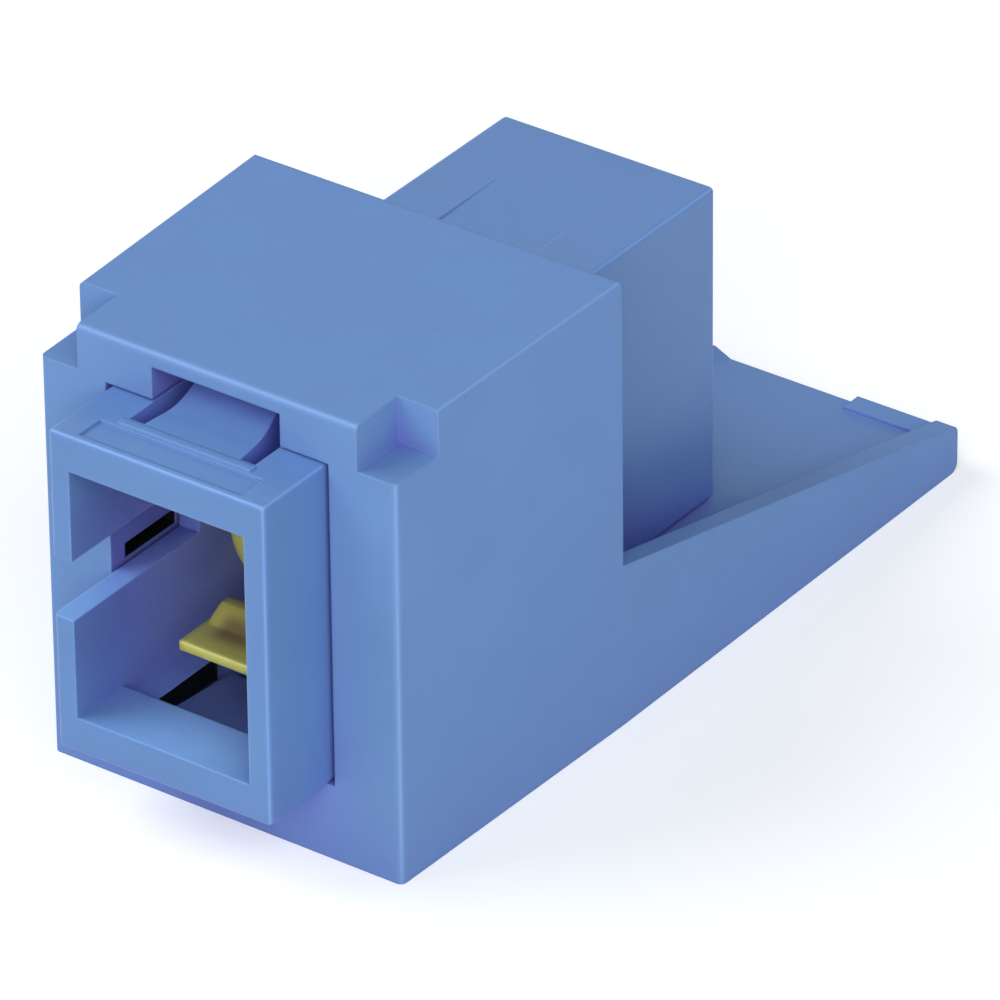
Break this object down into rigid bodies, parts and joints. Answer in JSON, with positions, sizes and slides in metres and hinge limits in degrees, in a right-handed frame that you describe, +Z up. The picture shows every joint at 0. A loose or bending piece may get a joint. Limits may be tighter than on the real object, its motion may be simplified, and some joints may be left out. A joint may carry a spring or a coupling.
{
  "type": "sc fibre adapter module",
  "caption": "Simplex fibre-optic coupler body with a push-pull socket at each end, snapped through a wedge-tailed carrier block that clips into a panel opening.",
  "frame": {"origin": "middle of the outline, on the carrier's flat base", "axes": "+Y from the front socket along the optical axis to the carrier's tail, +Z up, X across"},
  "size_m": [0.016, 0.0378, 0.0183],
  "materials": {
    "carrier": "fine matt",
    "adapter": "fine matt",
    "holder": "clear amber, moulded",
    "sleeve": "polished ceramic"
  },
  "bodies": {
    "root": {"module_carrier": "carrier", "front_housing": "adapter", "rear_housing": "adapter", "front_latch_holder": "holder", "rear_latch_holder": "holder", "split_sleeve": "sleeve"}
  },
  "joints": []
}
